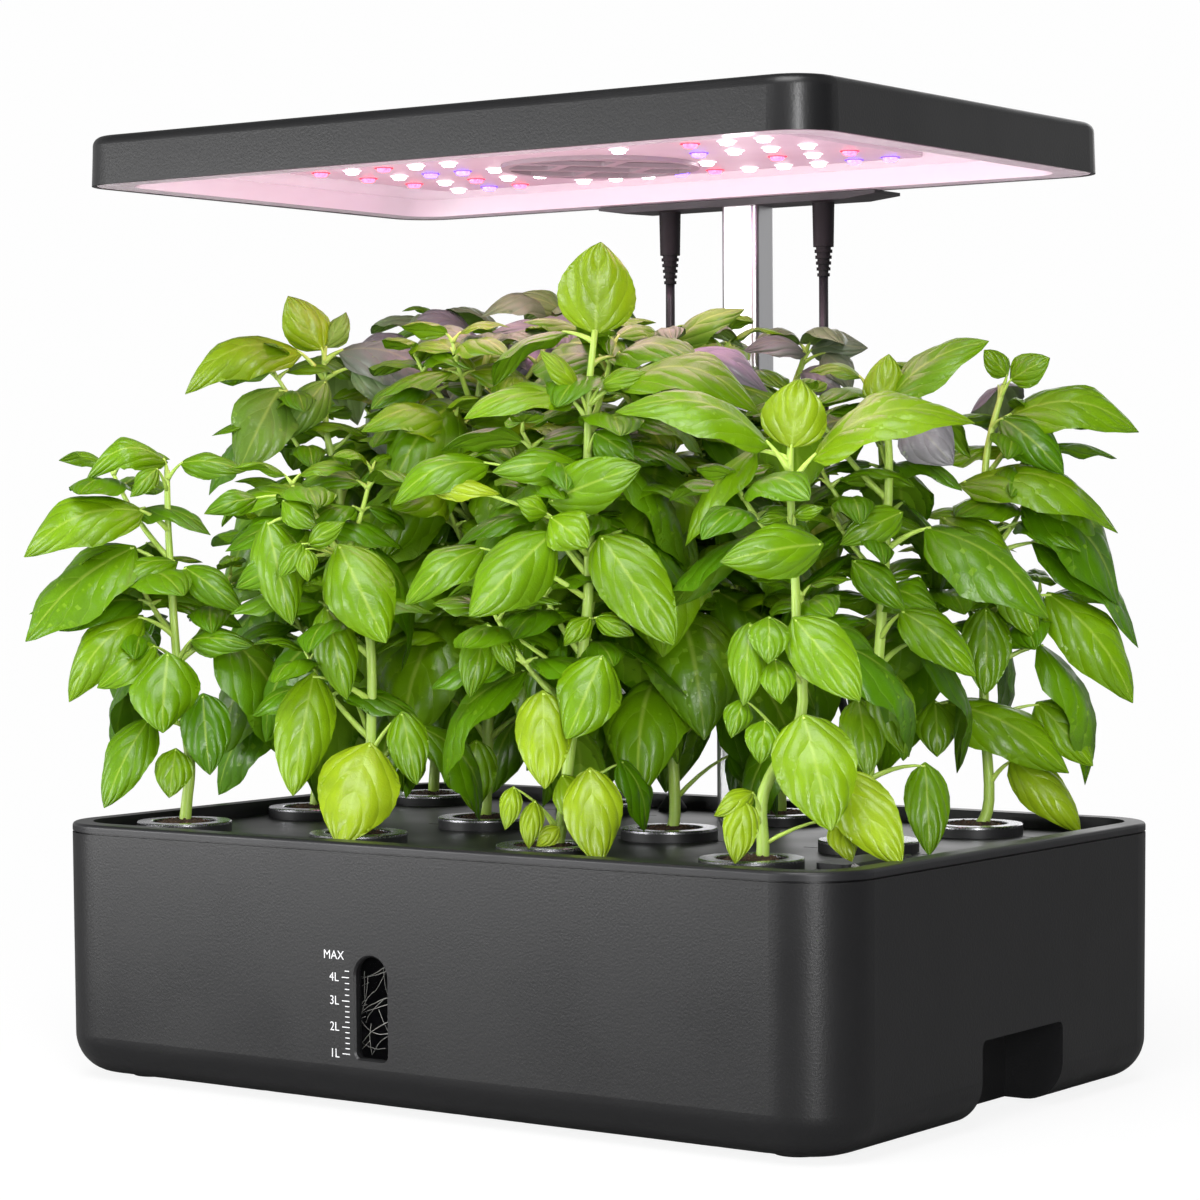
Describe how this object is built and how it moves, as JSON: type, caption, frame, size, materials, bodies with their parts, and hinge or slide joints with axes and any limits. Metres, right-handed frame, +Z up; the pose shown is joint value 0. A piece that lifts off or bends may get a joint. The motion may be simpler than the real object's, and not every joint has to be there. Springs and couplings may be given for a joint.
{
  "type": "countertop hydroponic garden",
  "caption": "Low rounded water tank with a planting deck of basil in net pods, and a slim grow lamp on a telescoping rear post.",
  "frame": {"origin": "on the table, under the middle of the tank", "axes": "+X to the right along the tank's long front, +Y from the front to the post, +Z up"},
  "size_m": [0.43, 0.3443, 0.3698],
  "materials": {
    "charcoal_shell": "fine-grained satin moulded ABS",
    "charcoal_deck": "fine-grained satin moulded ABS",
    "black_moulding": "satin moulded polypropylene",
    "soft_rubber": "matt moulded rubber",
    "lead_sheath": "satin extruded PVC",
    "adapter_case": "satin moulded polycarbonate",
    "window_clear": "clear smoked acrylic",
    "post_aluminium": "anodised extruded aluminium",
    "ring_aluminium": "satin anodised aluminium",
    "tray_white": "glossy white moulded ABS",
    "led_board": "white solder resist on aluminium",
    "led_white": "clear silicone over phosphor",
    "led_red": "clear silicone dome",
    "led_violet": "clear silicone dome",
    "grille_white": "satin moulded ABS",
    "button_grey": "satin moulded ABS",
    "board_green": "green solder resist on glass-epoxy",
    "steel": "nickel-plated steel",
    "peat": "pressed peat",
    "basil_leaf": "waxy leaf"
  },
  "bodies": {
    "tank": {"tank": "charcoal_shell", "feet": "soft_rubber", "window_gasket": "soft_rubber", "window_lens": "window_clear", "power_lead_lower": "lead_sheath", "power_lead_coil": "lead_sheath", "power_adapter": "adapter_case"},
    "deck": {"deck": "charcoal_deck", "net_baskets_front": "black_moulding", "net_baskets_middle": "black_moulding", "net_baskets_back": "black_moulding", "pole_collar": "black_moulding", "pole_trim": "black_moulding", "pole_socket": "black_moulding", "cable_clip": "black_moulding", "pump_body": "black_moulding", "pump_cover": "black_moulding", "pump_riser": "black_moulding", "lead_grommet": "soft_rubber", "pump_lead_upper": "lead_sheath", "pump_lead_lower": "lead_sheath", "power_lead_upper": "lead_sheath", "pole_outer": "post_aluminium", "pod_trim_rings": "ring_aluminium", "fill_lid_pin": "steel", "growing_plugs": "peat", "plant_1_1": "basil_leaf", "plant_1_2": "basil_leaf", "plant_1_3": "basil_leaf", "plant_2_1": "basil_leaf", "plant_2_2": "basil_leaf", "plant_2_3": "basil_leaf", "plant_3_1": "basil_leaf", "plant_3_2": "basil_leaf", "plant_3_3": "basil_leaf", "plant_4_1": "basil_leaf", "plant_4_2": "basil_leaf", "plant_4_3": "basil_leaf"},
    "lamp": {"pole_inner": "post_aluminium", "pole_slider": "black_moulding", "lamp_bracket": "black_moulding", "bracket_screws": "steel", "lamp_housing": "charcoal_shell", "lamp_reflector": "tray_white", "led_board": "led_board", "leds_white": "led_white", "leds_red": "led_red", "leds_violet": "led_violet", "fan_grille": "grille_white", "fan_frame": "black_moulding", "control_board": "board_green", "plug_pump": "soft_rubber", "plug_power": "soft_rubber"},
    "fill_lid": {"fill_lid": "charcoal_deck"},
    "fan_rotor": {"fan_rotor": "black_moulding"},
    "pump_impeller": {"pump_impeller": "black_moulding"},
    "button_left": {"button_left": "button_grey"},
    "button_middle": {"button_middle": "button_grey"},
    "button_right": {"button_right": "button_grey"}
  },
  "joints": [
    {"name": "deck_lift", "type": "slide", "parent": "tank", "child": "deck", "axis": [0, 0, 1], "range_m": [0, 0.1], "deforming": ["power_lead_lower"]},
    {"name": "lamp_height", "type": "slide", "parent": "deck", "child": "lamp", "axis": [0, 0, 1], "range_m": [-0.02, 0.06], "deforming": ["pump_lead_upper", "power_lead_upper"]},
    {"name": "fill_lid_hinge", "type": "hinge", "parent": "deck", "child": "fill_lid", "pos_m": [0.16085, -0.056, 0.097], "axis": [0, 1, 0], "range_deg": [0, 100]},
    {"name": "fan_spin", "type": "hinge", "parent": "lamp", "child": "fan_rotor", "pos_m": [0.006, -0.0086, 0.3622], "axis": [0, 0, 1], "continuous": true},
    {"name": "pump_spin", "type": "hinge", "parent": "deck", "child": "pump_impeller", "pos_m": [-0.0158, 0.082, 0.014], "axis": [0, 0, 1], "continuous": true},
    {"name": "button_left_press", "type": "slide", "parent": "lamp", "child": "button_left", "axis": [0, 0, -1], "range_m": [0, 0.0008], "stiffness_N_per_m": 400, "springref_m": -0.001},
    {"name": "button_middle_press", "type": "slide", "parent": "lamp", "child": "button_middle", "axis": [0, 0, -1], "range_m": [0, 0.0008], "stiffness_N_per_m": 400, "springref_m": -0.001},
    {"name": "button_right_press", "type": "slide", "parent": "lamp", "child": "button_right", "axis": [0, 0, -1], "range_m": [0, 0.0008], "stiffness_N_per_m": 400, "springref_m": -0.001}
  ]
}
